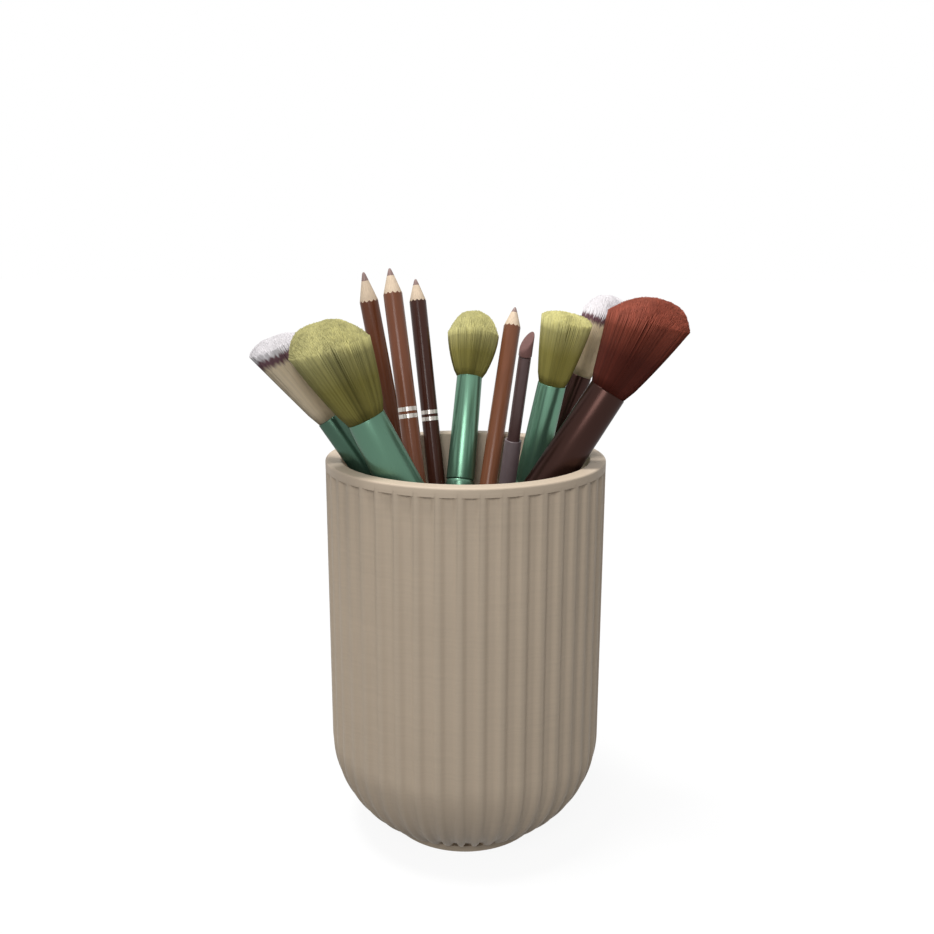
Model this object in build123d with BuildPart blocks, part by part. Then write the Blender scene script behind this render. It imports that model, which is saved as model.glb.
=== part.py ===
from build123d import *

import os
from math import cos, radians, sin, sqrt
from typing import NamedTuple

# Brush holder: a fluted cup with a raised pocket floor, a drawer that opens at the back (+Y), and the brushes,
# pencils and smudger that stand in it. Millimetres, +Z up, origin at the centre of the base.

# Cup
OUTER_RADIUS = 52.5
CUP_HEIGHT = 148.0
WALL = 6.0
CORNER_RADIUS = 40.0
BASE_RADIUS = 30.0
BASE_LIP = 2.7
RIM_BAND = 3.4
RIM_ROUND = 0.8
POCKET_FILLET = 4.0

# Flutes
FLUTE_COUNT = 44
FLUTE_DEPTH = 1.2
FLUTE_SHARE = 0.56
FLUTE_BEARING = -88.0
CUT_MARGIN = 2.0

# Drawer and its bay
BAY_BOTTOM = 12.0
BAY_HEIGHT = 30.0
BAY_WIDTH = 60.0
BAY_WALL = 4.8
DECK = 4.0
DRAWER_GAP = 0.5
DRAWER_SEAT = 0.3
DRAWER_FRONT = 5.5
TRAY_WALL = 2.4
NOTCH_RADIUS = 9.0
DRAWER_TRAVEL = 48.0
STOP_WIDTH = 16.0
STOP_DEPTH = 1.8
STOP_LENGTH = 2.4
STOP_GAP = 0.3

# Fits and shared details of the tools
FOOT_GAP = 0.35
FIT_GAP = 0.05
FERRULE_WALL = 0.5
TENON_LENGTH = 12.0
WAIST_DROP = 18.0
WAIST_SHARE = 0.62
BACKING_DEPTH = 4.0
LEAD_START = 8.0
LEAD_BLUNT = 0.5

# Bristles: rings of strands round a middle one, each widest near its tip
BRISTLE_RINGS = 4
STRANDS_PER_RING = 6
STRAND_SIDES = 3
STRAND_FILL = 0.36
STRAND_BITE = 0.5
BELLY_AT = 0.8
TIP_SHARE = 0.3

# Smudger
SLEEVE_RADIUS = 3.1
SLEEVE_LENGTH = 108.5
STEM_RADIUS = 2.25
STEM_LENGTH = 31.0
STEM_TENON = 10.0
SPONGE_RADIUS = 2.4
SPONGE_LENGTH = 9.5
SPONGE_SHORT_SIDE = 2.5
PIN_RADIUS = 1.0
PIN_LENGTH = 2.0


class Stand(NamedTuple):
    """How a tool stands: its foot on the pocket floor and its shaft at the rim."""

    foot: tuple  # place of the foot, in shares of the pocket radius
    rim_bearing: float  # where the shaft passes the rim, degrees from +X
    rim_gap: float  # clear distance from the shaft to the rim's inner edge


class Brush(NamedTuple):
    """Lengths run along the brush from the middle of its round foot: handle, ferrule, head."""

    name: str
    stand: Stand
    foot_radius: float
    handle_length: float
    ferrule_length: float
    ferrule_radius: float
    mouth_radius: float
    head_length: float
    head_radius: float
    crown: float  # how far the outermost tips fall short of the middle one

    @property
    def mouth(self):
        return self.handle_length + self.ferrule_length

    @property
    def bore_radius(self):
        return self.mouth_radius - FERRULE_WALL


class Pencil(NamedTuple):
    """Lengths run along the pencil from the middle of its round foot: barrel, then sharpened cone."""

    name: str
    stand: Stand
    radius: float
    barrel_length: float
    cone_length: float
    lead_radius: float

    def cone_at(self, radius):
        """Distance from the foot at which the cone has narrowed to a radius."""
        return self.barrel_length + self.cone_length * (self.radius - radius) / (self.radius - LEAD_BLUNT)


class Pose(NamedTuple):
    """A tool's foot, the way it points and a level direction across it."""

    foot: Vector
    way: Vector
    across: Vector


BRUSHES = [
    Brush(
        name="stippling_brush",
        stand=Stand(foot=(0.60, -0.21), rim_bearing=194.6, rim_gap=0.4),
        foot_radius=2.6,
        handle_length=107.5,
        ferrule_length=31.0,
        ferrule_radius=4.6,
        mouth_radius=4.4,
        head_length=35.5,
        head_radius=9.9,
        crown=3.6,
    ),
    Brush(
        name="powder_brush",
        stand=Stand(foot=(0.50, -0.57), rim_bearing=228.5, rim_gap=0.4),
        foot_radius=3.0,
        handle_length=97.0,
        ferrule_length=34.0,
        ferrule_radius=7.8,
        mouth_radius=6.8,
        head_length=36.5,
        head_radius=13.6,
        crown=9.0,
    ),
    Brush(
        name="shadow_brush",
        stand=Stand(foot=(-0.21, 0.04), rim_bearing=91.0, rim_gap=0.4),
        foot_radius=2.6,
        handle_length=88.0,
        ferrule_length=43.5,
        ferrule_radius=5.8,
        mouth_radius=5.3,
        head_length=28.2,
        head_radius=10.4,
        crown=9.5,
    ),
    Brush(
        name="angled_brush",
        stand=Stand(foot=(0.14, 0.25), rim_bearing=8.0, rim_gap=14.0),
        foot_radius=2.6,
        handle_length=90.0,
        ferrule_length=39.0,
        ferrule_radius=5.5,
        mouth_radius=5.3,
        head_length=26.7,
        head_radius=9.1,
        crown=2.2,
    ),
    Brush(
        name="contour_brush",
        stand=Stand(foot=(0.02, 0.60), rim_bearing=31.9, rim_gap=0.4),
        foot_radius=2.6,
        handle_length=95.0,
        ferrule_length=39.5,
        ferrule_radius=4.2,
        mouth_radius=4.1,
        head_length=32.6,
        head_radius=8.3,
        crown=6.0,
    ),
    Brush(
        name="blush_brush",
        stand=Stand(foot=(-0.60, -0.40), rim_bearing=-26.5, rim_gap=0.4),
        foot_radius=3.0,
        handle_length=104.0,
        ferrule_length=44.0,
        ferrule_radius=7.4,
        mouth_radius=6.9,
        head_length=36.8,
        head_radius=13.8,
        crown=8.5,
    ),
]
PENCILS = [
    Pencil(
        name="lip_pencil",
        stand=Stand(foot=(-0.25, 0.72), rim_bearing=132.6, rim_gap=0.4),
        radius=3.7,
        barrel_length=156.0,
        cone_length=11.5,
        lead_radius=1.4,
    ),
    Pencil(
        name="brow_pencil",
        stand=Stand(foot=(-0.165, -0.20), rim_bearing=156.0, rim_gap=20.3),
        radius=3.7,
        barrel_length=161.0,
        cone_length=10.0,
        lead_radius=1.4,
    ),
    Pencil(
        name="eye_pencil",
        stand=Stand(foot=(-0.075, 0.45), rim_bearing=109.5, rim_gap=0.4),
        radius=3.5,
        barrel_length=156.5,
        cone_length=9.3,
        lead_radius=1.3,
    ),
    Pencil(
        name="highlight_pencil",
        stand=Stand(foot=(-0.07, 0.18), rim_bearing=73.0, rim_gap=0.4),
        radius=3.6,
        barrel_length=151.0,
        cone_length=8.6,
        lead_radius=1.3,
    ),
]
SMUDGER_STAND = Stand(foot=(0.11, 0.07), rim_bearing=-32.0, rim_gap=24.0)

# Sizes worked out from the driving dimensions
POCKET_RADIUS = OUTER_RADIUS - WALL
POCKET_FLOOR = BAY_BOTTOM + BAY_HEIGHT + DECK
CORNER_CENTRE = OUTER_RADIUS - CORNER_RADIUS
SHOULDER = BASE_LIP + sqrt(CORNER_RADIUS**2 - (BASE_RADIUS - CORNER_CENTRE) ** 2)
FLUTE_TOP = CUP_HEIGHT - RIM_BAND
FLUTE_ANGLE = FLUTE_SHARE * 360 / FLUTE_COUNT
BAY_TOP = BAY_BOTTOM + BAY_HEIGHT
DRAWER_BOTTOM = BAY_BOTTOM + DRAWER_SEAT
DRAWER_TOP = BAY_TOP - DRAWER_GAP
TRAY_FLOOR = DRAWER_BOTTOM + TRAY_WALL


def corner_radius_at(height):
    """Radius of the plain outside at a height within the rounded corner."""
    return CORNER_CENTRE + sqrt(CORNER_RADIUS**2 - (SHOULDER - height) ** 2)


BAY_END_RADIUS = corner_radius_at(BAY_BOTTOM) - BAY_WALL
TRAY_END_RADIUS = BAY_END_RADIUS - DRAWER_GAP - TRAY_WALL
TRAY_FRONT_RADIUS = corner_radius_at(TRAY_FLOOR) - DRAWER_FRONT
STEM_END = SLEEVE_LENGTH + STEM_LENGTH
STOP_BACK = DRAWER_TRAVEL + STOP_GAP - sqrt(TRAY_END_RADIUS**2 - (STOP_WIDTH / 2) ** 2)

os.makedirs("parts", exist_ok=True)


def save(piece, name):
    """Label a finished piece and write its file."""
    piece.part.label = name
    export_step(piece.part, f"parts/{name}.step")


def stand_pose(stand, shaft_radius, foot_radius):
    """Foot and direction of a tool that rests on the pocket floor and passes the rim with its gap."""
    foot_height = POCKET_FLOOR + FOOT_GAP + foot_radius
    foot = Vector(stand.foot[0] * POCKET_RADIUS, stand.foot[1] * POCKET_RADIUS, foot_height)
    bearing = radians(stand.rim_bearing)
    outward = Vector(cos(bearing), sin(bearing), 0)
    lean_cosine = 1.0
    for _ in range(4):
        reach = POCKET_RADIUS - stand.rim_gap - shaft_radius / lean_cosine
        way = (outward * reach + Vector(0, 0, CUP_HEIGHT) - foot).normalized()
        lean_cosine = way.Z / sqrt(way.Z**2 + way.dot(outward) ** 2)
    return Pose(foot, way, way.cross(Vector(0, 0, 1)).normalized())


def profile_plane(pose):
    """Plane whose X is the distance from the tool's axis and whose Y runs along the tool."""
    return Plane(origin=pose.foot, x_dir=pose.across, z_dir=pose.across.cross(pose.way))


def tool_axis(pose):
    return Axis(pose.foot, pose.way)


def cross_plane(pose, distance):
    """Plane square across the tool at a distance from its foot."""
    return Plane(origin=pose.foot + pose.way * distance, x_dir=pose.across, z_dir=pose.way)


# Fluted blank: the outside that both the cup and the drawer front are cut from
with BuildPart() as flute:
    with BuildSketch(Plane.XZ):
        with Locations((0, BASE_LIP)):
            Rectangle(OUTER_RADIUS + CUT_MARGIN, FLUTE_TOP - BASE_LIP, align=(Align.MIN, Align.MIN))
        with Locations((CORNER_CENTRE, SHOULDER)):
            Circle(CORNER_RADIUS - FLUTE_DEPTH, mode=Mode.SUBTRACT)
        with Locations((0, SHOULDER)):
            Rectangle(
                OUTER_RADIUS - FLUTE_DEPTH, CUP_HEIGHT, align=(Align.MIN, Align.MIN), mode=Mode.SUBTRACT
            )
            Rectangle(CORNER_CENTRE, SHOULDER, align=(Align.MIN, Align.MAX), mode=Mode.SUBTRACT)
    revolve(axis=Axis.Z, revolution_arc=FLUTE_ANGLE)

with BuildPart() as blank:
    with BuildSketch(Plane.XZ):
        with BuildLine():
            Polyline((0, CUP_HEIGHT), (0, 0), (BASE_RADIUS, 0), (BASE_RADIUS, BASE_LIP))
            TangentArc((OUTER_RADIUS, SHOULDER), (BASE_RADIUS, BASE_LIP), tangent=(0, -1))
            Polyline((OUTER_RADIUS, SHOULDER), (OUTER_RADIUS, CUP_HEIGHT), (0, CUP_HEIGHT))
        make_face()
    revolve(axis=Axis.Z)
    fillet(blank.edges().group_by(Axis.Z)[-1].filter_by(GeomType.CIRCLE), RIM_ROUND)
    with PolarLocations(0, FLUTE_COUNT, start_angle=FLUTE_BEARING - FLUTE_ANGLE / 2):
        add(flute.part, mode=Mode.SUBTRACT)


def bay_plan(gap):
    """The bay seen from above: straight sides out through the back wall, and a round inner end."""
    with BuildSketch() as plan:
        Circle(BAY_END_RADIUS - gap)
        Rectangle(BAY_WIDTH - 2 * gap, 2 * BAY_END_RADIUS, mode=Mode.INTERSECT)
        Rectangle(BAY_WIDTH - 2 * gap, 2 * OUTER_RADIUS, align=(Align.CENTER, Align.MIN))
    return plan.sketch


def tray_plan():
    """The drawer's hollow seen from above, round at both ends."""
    inside = BAY_WIDTH - 2 * (DRAWER_GAP + TRAY_WALL)
    with BuildSketch() as plan:
        Circle(TRAY_END_RADIUS)
        Rectangle(inside, TRAY_END_RADIUS, align=(Align.CENTER, Align.MAX), mode=Mode.INTERSECT)
        with BuildSketch(mode=Mode.PRIVATE) as front:
            Circle(TRAY_FRONT_RADIUS)
            Rectangle(inside, TRAY_FRONT_RADIUS, align=(Align.CENTER, Align.MIN), mode=Mode.INTERSECT)
        add(front.sketch)
    return plan.sketch


# Cup: pocket above, drawer bay below, with a stop lip under the deck that catches the tray's inner end
with BuildPart() as cup_body:
    add(blank.part)
    with BuildSketch(Plane.XY.offset(POCKET_FLOOR)):
        Circle(POCKET_RADIUS)
    extrude(amount=CUP_HEIGHT - POCKET_FLOOR, mode=Mode.SUBTRACT)
    pocket_edges = cup_body.edges(Select.LAST).filter_by(GeomType.CIRCLE)
    fillet(pocket_edges.group_by(Axis.Z)[0], POCKET_FILLET)
    rim_edges = cup_body.edges().filter_by(GeomType.CIRCLE).group_by(Axis.Z)[-1]
    fillet(rim_edges.sort_by(SortBy.RADIUS)[0], RIM_ROUND)
    with BuildSketch(Plane.XY.offset(BAY_BOTTOM)):
        add(bay_plan(0))
    extrude(amount=BAY_HEIGHT, mode=Mode.SUBTRACT)
    with BuildSketch(Plane.XY.offset(BAY_TOP)):
        with Locations((0, STOP_BACK)):
            Rectangle(STOP_WIDTH, STOP_LENGTH, align=(Align.CENTER, Align.MIN))
    extrude(amount=-STOP_DEPTH)
save(cup_body, "cup_body")

# Drawer: a tray whose front is cut from the same fluted outside, with a finger notch in its top edge
with BuildPart() as drawer:
    add(blank.part)
    with BuildSketch(Plane.XY.offset(DRAWER_BOTTOM)):
        add(bay_plan(DRAWER_GAP))
    extrude(amount=DRAWER_TOP - DRAWER_BOTTOM, mode=Mode.INTERSECT)
    with BuildSketch(Plane.XY.offset(TRAY_FLOOR)):
        add(tray_plan())
    extrude(amount=BAY_HEIGHT, mode=Mode.SUBTRACT)
    with BuildSketch(Plane.XZ):
        with Locations((0, DRAWER_TOP)):
            Circle(NOTCH_RADIUS)
    extrude(amount=-2 * OUTER_RADIUS, mode=Mode.SUBTRACT)
save(drawer, "drawer")


def brush_handle(brush, pose):
    """Round-footed handle with a waist below the ferrule and a tenon inside it."""
    shoulder = brush.handle_length - FIT_GAP
    waist_radius = max(brush.foot_radius, WAIST_SHARE * brush.ferrule_radius)
    tenon_radius = brush.bore_radius - FIT_GAP
    tenon_end = brush.handle_length + TENON_LENGTH
    with BuildPart() as handle:
        with BuildSketch(profile_plane(pose)):
            with BuildLine():
                CenterArc((0, 0), brush.foot_radius, -90, 90)
                Polyline(
                    (brush.foot_radius, 0),
                    (waist_radius, shoulder - WAIST_DROP),
                    (brush.ferrule_radius, shoulder),
                    (tenon_radius, shoulder),
                    (tenon_radius, tenon_end),
                    (0, tenon_end),
                    (0, -brush.foot_radius),
                )
            make_face()
        revolve(axis=tool_axis(pose))
    return handle


def brush_ferrule(brush, pose):
    """Metal tube, a little wider at the handle than at the mouth."""
    with BuildPart() as ferrule:
        with BuildSketch(profile_plane(pose)):
            with BuildLine():
                Polyline(
                    (brush.bore_radius, brush.handle_length),
                    (brush.ferrule_radius, brush.handle_length),
                    (brush.mouth_radius, brush.mouth),
                    (brush.bore_radius, brush.mouth),
                    close=True,
                )
            make_face()
        revolve(axis=tool_axis(pose))
    return ferrule


def strand(pose, start, end, root_radius, tip_radius, root_size, belly_size):
    """One bundle of hair: a slim loft from the backing to its tip, widest near the tip."""
    root = pose.foot + pose.way * start + pose.across * root_radius
    run = pose.way * (end - start) + pose.across * (tip_radius - root_radius)
    level = run.cross(pose.across.cross(pose.way))
    stations = [(0, root_size), (BELLY_AT, belly_size), (1, TIP_SHARE * belly_size)]
    with BuildPart() as bundle:
        for share, size in stations:
            with BuildSketch(Plane(origin=root + run * share, x_dir=level, z_dir=run)):
                RegularPolygon(size, STRAND_SIDES)
        loft(ruled=True)
    return bundle.part


def brush_bristles(brush, pose):
    """Rings of strands that spread from a backing slice to a crowned head."""
    backing_radius = brush.bore_radius - FIT_GAP
    root_size = STRAND_FILL * backing_radius / (BRISTLE_RINGS + STRAND_FILL)
    belly_size = STRAND_FILL * brush.head_radius / BRISTLE_RINGS
    strands = []
    for ring in range(BRISTLE_RINGS + 1):
        share = ring / BRISTLE_RINGS
        first = strand(
            pose,
            start=brush.mouth,
            end=brush.mouth + brush.head_length - brush.crown * share**2,
            root_radius=share * (backing_radius - root_size),
            tip_radius=share * brush.head_radius,
            root_size=root_size,
            belly_size=belly_size,
        )
        count = max(1, ring * STRANDS_PER_RING)
        strands += [first.rotate(tool_axis(pose), turn * 360 / count) for turn in range(count)]
    with BuildPart() as bristles:
        with BuildSketch(cross_plane(pose, brush.mouth - BACKING_DEPTH)):
            Circle(backing_radius)
        extrude(amount=BACKING_DEPTH + STRAND_BITE)
        add(strands)
    return bristles


# Brushes: handle, ferrule and bristles
for brush in BRUSHES:
    pose = stand_pose(brush.stand, brush.ferrule_radius, brush.foot_radius)
    save(brush_handle(brush, pose), f"{brush.name}_handle")
    save(brush_ferrule(brush, pose), f"{brush.name}_ferrule")
    save(brush_bristles(brush, pose), f"{brush.name}_bristles")


def pencil_casing(pencil, pose):
    """Round wooden casing, sharpened to a cone and bored for its lead."""
    bore_radius = pencil.lead_radius + FIT_GAP
    with BuildPart() as casing:
        with BuildSketch(profile_plane(pose)):
            with BuildLine():
                CenterArc((0, 0), pencil.radius, -90, 90)
                Polyline(
                    (pencil.radius, 0),
                    (pencil.radius, pencil.barrel_length),
                    (bore_radius, pencil.cone_at(bore_radius)),
                    (bore_radius, LEAD_START),
                    (0, LEAD_START),
                    (0, -pencil.radius),
                )
            make_face()
        revolve(axis=tool_axis(pose))
    return casing


def pencil_lead(pencil, pose):
    """Coloured core through the casing, sharpened with it."""
    with BuildPart() as lead:
        with BuildSketch(profile_plane(pose)):
            with BuildLine():
                Polyline(
                    (0, LEAD_START + FIT_GAP),
                    (pencil.lead_radius, LEAD_START + FIT_GAP),
                    (pencil.lead_radius, pencil.cone_at(pencil.lead_radius)),
                    (LEAD_BLUNT, pencil.cone_at(LEAD_BLUNT)),
                    (0, pencil.cone_at(LEAD_BLUNT)),
                    close=True,
                )
            make_face()
        revolve(axis=tool_axis(pose))
    return lead


# Pencils: casing and lead
for pencil in PENCILS:
    pose = stand_pose(pencil.stand, pencil.radius, pencil.radius)
    save(pencil_casing(pencil, pose), f"{pencil.name}_casing")
    save(pencil_lead(pencil, pose), f"{pencil.name}_lead")

# Smudger: sleeve, stem and a sponge with a slanted end
smudger = stand_pose(SMUDGER_STAND, SLEEVE_RADIUS, SLEEVE_RADIUS)
with BuildPart() as smudger_sleeve:
    with BuildSketch(profile_plane(smudger)):
        with BuildLine():
            CenterArc((0, 0), SLEEVE_RADIUS, -90, 90)
            Polyline(
                (SLEEVE_RADIUS, 0),
                (SLEEVE_RADIUS, SLEEVE_LENGTH),
                (STEM_RADIUS + FIT_GAP, SLEEVE_LENGTH),
                (STEM_RADIUS + FIT_GAP, SLEEVE_LENGTH - STEM_TENON),
                (0, SLEEVE_LENGTH - STEM_TENON),
                (0, -SLEEVE_RADIUS),
            )
        make_face()
    revolve(axis=tool_axis(smudger))
save(smudger_sleeve, "smudger_sleeve")

with BuildPart() as smudger_stem:
    with BuildSketch(cross_plane(smudger, SLEEVE_LENGTH - STEM_TENON + FIT_GAP)):
        Circle(STEM_RADIUS)
    extrude(amount=STEM_END - SLEEVE_LENGTH + STEM_TENON - FIT_GAP)
    with BuildSketch(cross_plane(smudger, STEM_END)):
        Circle(PIN_RADIUS)
    extrude(amount=PIN_LENGTH)
save(smudger_stem, "smudger_stem")

with BuildPart() as smudger_sponge:
    with BuildSketch(profile_plane(smudger)):
        with BuildLine():
            Polyline(
                (-SPONGE_RADIUS, STEM_END + FIT_GAP),
                (-SPONGE_RADIUS, STEM_END + SPONGE_LENGTH),
                (SPONGE_RADIUS, STEM_END + SPONGE_SHORT_SIDE),
                (SPONGE_RADIUS, STEM_END + FIT_GAP),
                close=True,
            )
        make_face()
    extrude(amount=SPONGE_RADIUS, both=True)
    with BuildSketch(cross_plane(smudger, STEM_END)):
        Circle(SPONGE_RADIUS)
    extrude(amount=2 * SPONGE_LENGTH, mode=Mode.INTERSECT)
    with BuildSketch(cross_plane(smudger, STEM_END)):
        Circle(PIN_RADIUS + FIT_GAP)
    extrude(amount=PIN_LENGTH + FIT_GAP, mode=Mode.SUBTRACT)
save(smudger_sponge, "smudger_sponge")
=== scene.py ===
import math
import random
from typing import NamedTuple

import bmesh
import bpy
from mathutils import Matrix, Vector, noise


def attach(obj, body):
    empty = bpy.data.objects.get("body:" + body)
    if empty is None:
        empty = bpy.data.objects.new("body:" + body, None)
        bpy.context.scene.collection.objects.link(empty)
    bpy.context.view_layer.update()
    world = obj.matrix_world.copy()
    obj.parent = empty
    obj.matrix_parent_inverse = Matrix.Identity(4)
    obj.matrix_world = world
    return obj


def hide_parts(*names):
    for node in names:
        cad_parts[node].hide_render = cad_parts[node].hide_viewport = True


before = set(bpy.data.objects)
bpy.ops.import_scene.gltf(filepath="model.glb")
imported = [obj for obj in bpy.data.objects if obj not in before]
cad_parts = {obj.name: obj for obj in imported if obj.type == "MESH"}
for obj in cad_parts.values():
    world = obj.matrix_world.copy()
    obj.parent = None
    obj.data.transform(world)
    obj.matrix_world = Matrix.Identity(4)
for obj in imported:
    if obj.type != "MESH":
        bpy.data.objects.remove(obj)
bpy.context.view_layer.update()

bl_info = {
    "name": "Fluted brush holder",
    "version": (1, 0, 0),
    "blender": (4, 5, 0),
    "location": "View3D > Sidebar > Brush Holder",
    "description": "Printed cup and drawer with the brushes, pencils and smudger that stand in it",
    "category": "Object",
}

MM = 0.001
FULL_TURN = 2 * math.pi

# Cup and drawer, millimetres
OUTER_RADIUS = 52.5
CUP_HEIGHT = 148.0
POCKET_RADIUS = 46.5
POCKET_FLOOR = 46.0
POCKET_FILLET = 4.0
CORNER_RADIUS = 40.0
CORNER_CENTRE = OUTER_RADIUS - CORNER_RADIUS
BASE_RADIUS = 30.0
BASE_LIP = 2.7
BASE_EDGE = 0.4  # bevel of the edge it stands on
LIP_STEP = 0.15
SHOULDER = BASE_LIP + math.sqrt(CORNER_RADIUS**2 - (BASE_RADIUS - CORNER_CENTRE) ** 2)
RIM_BAND = 3.4
RIM_ROUND = 0.8
FLUTE_TOP = CUP_HEIGHT - RIM_BAND
FLUTE_COUNT = 44
FLUTE_DEPTH = 1.2
FLUTE_SHARE = 0.56
FLUTE_BEARING = -88.0
FLUTE_END = 0.25  # height of the step at a flute's upper end
STEPS_PER_FLUTE = 14
BAY_BOTTOM = 12.0
BAY_TOP = 42.0
BAY_WIDTH = 60.0
BAY_WALL = 4.8
DRAWER_GAP = 0.5
DRAWER_SEAT = 0.3
DRAWER_FRONT = 5.5
TRAY_WALL = 2.4
NOTCH_RADIUS = 9.0
DRAWER_TRAVEL = 48.0
STOP_WIDTH = 16.0
STOP_LENGTH = 2.4
STOP_DEPTH = 1.8
STOP_GAP = 0.3
STOP_BITE = 1.0  # how far the stop reaches up into the deck
PAST = 20.0  # how far a cutter reaches past what it cuts
SHARP_ANGLE = 35.0  # degrees between faces, from which an edge is drawn sharp


def corner_radius_at(height):
    """Radius of the plain outside at a height within the rounded corner."""
    return CORNER_CENTRE + math.sqrt(CORNER_RADIUS**2 - (SHOULDER - height) ** 2)


BAY_END_RADIUS = corner_radius_at(BAY_BOTTOM) - BAY_WALL
TRAY_END_RADIUS = BAY_END_RADIUS - DRAWER_GAP - TRAY_WALL
STOP_BACK = DRAWER_TRAVEL + STOP_GAP - math.sqrt(TRAY_END_RADIUS**2 - (STOP_WIDTH / 2) ** 2)

# Tools, millimetres
FOOT_GAP = 0.35
FIT_GAP = 0.05
FERRULE_WALL = 0.5
FERRULE_EDGE = 0.2
TENON_LENGTH = 12.0
WAIST_DROP = 18.0
WAIST_SHARE = 0.62
HANDLE_SWELL = (0.3, 0.35)  # share of the way from foot to waist, and where along the handle
HANDLE_FLARE = ((0.25, 0.66), (0.75, 0.33))  # shares from waist to ferrule, and of the drop that is left
HANDLE_EDGE = ((0.1, 1.6), (0.25, 0.5), (0.7, 0.0))  # inset and drop of its rounded upper edge
LEAD_START = 8.0
LEAD_BLUNT = 0.5
LEAD_TIP = ((0.7, 0.8), (0.35, 0.15))  # radius, and distance below the tip
SCALLOPS = 12  # round a pencil, six of which show
SCALLOP_DEPTH = 0.7
PAINT_END = (0.65, 0.8)  # past the barrel, where the paint thins out and where it is gone
SLEEVE_RADIUS = 3.1
SLEEVE_LENGTH = 108.5
STEM_RADIUS = 2.25
STEM_LENGTH = 31.0
STEM_TENON = 10.0
STEM_END = SLEEVE_LENGTH + STEM_LENGTH
SPONGE_RADIUS = 2.4
SPONGE_LENGTH = 9.5
SPONGE_SHORT_SIDE = 2.5
SPONGE_ROUND = 0.7
PIN_RADIUS = 1.0
PIN_LENGTH = 2.0
SLEEVE_EDGE = 0.25
STEM_EDGE = 0.15
TURN_STEPS = 56

# Hair, millimetres and shares of a hair's length
HAIR_BITE = 0.8  # how far the roots reach into the ferrule
HAIR_ROOT_GAP = 0.1
HAIR_CUTS = 5
VERTS_PER_HAIR = 3 * (HAIR_CUTS + 2)
HAIR_THICKNESS = 0.64  # of the distance to the next hair
HAIR_TAPER_FROM = 0.9
HAIR_TAPER = 0.8
HAIR_LEAN = 0.09  # how far a tip strays sideways
HAIR_UNEVEN = 0.13  # how far it strays along the head
CLUMP_LEAN = 0.25  # how far tips that are close stray together
CLUMP_SCALE = 0.3  # noise to a millimetre, as the other scales are
FURROW_DEPTH = 0.045  # of the distance from the middle
FURROW_SCALE = 0.36
TONE_SCALES = (0.55, 0.2)
TONE_PATCH = 0.25  # how much patches of hair differ in lightness
TONE_SPREAD = 0.1  # how much single hairs do
BAND_SPREAD = 0.012  # how far the colours shift along a hair
HAIR_SHARP = 150.0  # degrees, so that a hair looks round

# Stage, metres and degrees
FLOOR_HALF = 6.0
KEY_WAY = (-0.18, -0.05, 0.98)
KEY_SPREAD = 15.0
FILL_PLACE = (-0.1, -0.55, 0.46)
FILL_AIM = (0, 0, 0.16)
FILL_SIZE = 0.25
EYE = (0.0005, -0.3683, 0.2256)
EYE_DROP = 12.57
EYE_ROLL = 0.17
SENSOR_WIDTH = 36.0  # millimetres


class Stand(NamedTuple):
    """Foot in shares of the pocket radius, bearing at the rim in degrees, and clear gap to the rim."""

    foot: tuple
    rim_bearing: float
    rim_gap: float


class Head(NamedTuple):
    """A head of hair."""

    length: float
    radius: float
    crown: float  # how much shorter the outermost hairs are
    crown_power: float  # how sharply the crown rounds over at its edge
    bulge: float  # how far the side swells out from a straight flare
    slant: float  # how much longer the hairs on the low side are
    sway: float  # how far the tips hang to the low side
    tone: float  # how light its hair is, from 0 to 1: painted light, higher for heads that catch more light, lower for heads in shade


class Brush(NamedTuple):
    name: str
    stand: Stand
    foot_radius: float
    handle_length: float
    ferrule_length: float
    ferrule_radius: float
    mouth_radius: float
    head: Head
    metal: str
    shade: float  # its metal's lightness, as a share of the plain colour's: painted shade below 1, painted light above 1
    hair: str


class Pencil(NamedTuple):
    name: str
    stand: Stand
    radius: float
    barrel_length: float
    cone_length: float
    lead_radius: float
    paint: str
    bands: tuple  # silver bands, as (low, high) along the pencil


# A brush's shade and its head's tone paint light and shade into its colours: darker for brushes that stand
# in shade, lighter for those that catch more light.
BRUSHES = [
    Brush("stippling_brush", Stand((0.60, -0.21), 194.6, 0.4), 2.6, 107.5, 31.0, 4.6, 4.4,
          Head(35.5, 10.2, 3.6, 3.0, 0.0, 2.2, 0.0, 0.4), "green", 0.42, "cream"),
    Brush("powder_brush", Stand((0.50, -0.57), 228.5, 0.4), 3.0, 97.0, 34.0, 7.8, 6.8,
          Head(36.5, 13.8, 9.0, 3.2, 0.6, 2.5, 0.0, 0.35), "green", 0.8, "olive"),
    Brush("shadow_brush", Stand((-0.21, 0.04), 91.0, 0.4), 2.6, 88.0, 43.5, 5.8, 5.3,
          Head(28.2, 10.6, 9.5, 3.0, 1.0, 0.0, 0.0, 0.6), "green", 1.1, "olive"),
    Brush("angled_brush", Stand((0.14, 0.25), 8.0, 14.0), 2.6, 90.0, 39.0, 5.5, 5.3,
          Head(26.7, 9.3, 2.2, 4.0, 0.3, 0.0, 0.0, 0.85), "green", 1.1, "olive"),
    Brush("contour_brush", Stand((0.02, 0.60), 31.9, 0.4), 2.6, 95.0, 39.5, 4.2, 4.1,
          Head(32.6, 8.4, 6.0, 3.0, 0.3, 1.0, 0.0, 0.9), "brown", 1.0, "cream"),
    Brush("blush_brush", Stand((-0.60, -0.40), -26.5, 0.4), 3.0, 104.0, 44.0, 7.4, 6.9,
          Head(36.8, 14.0, 8.5, 2.7, 0.3, 4.2, -1.6, 0.4), "brown", 1.0, "red"),
]
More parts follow.
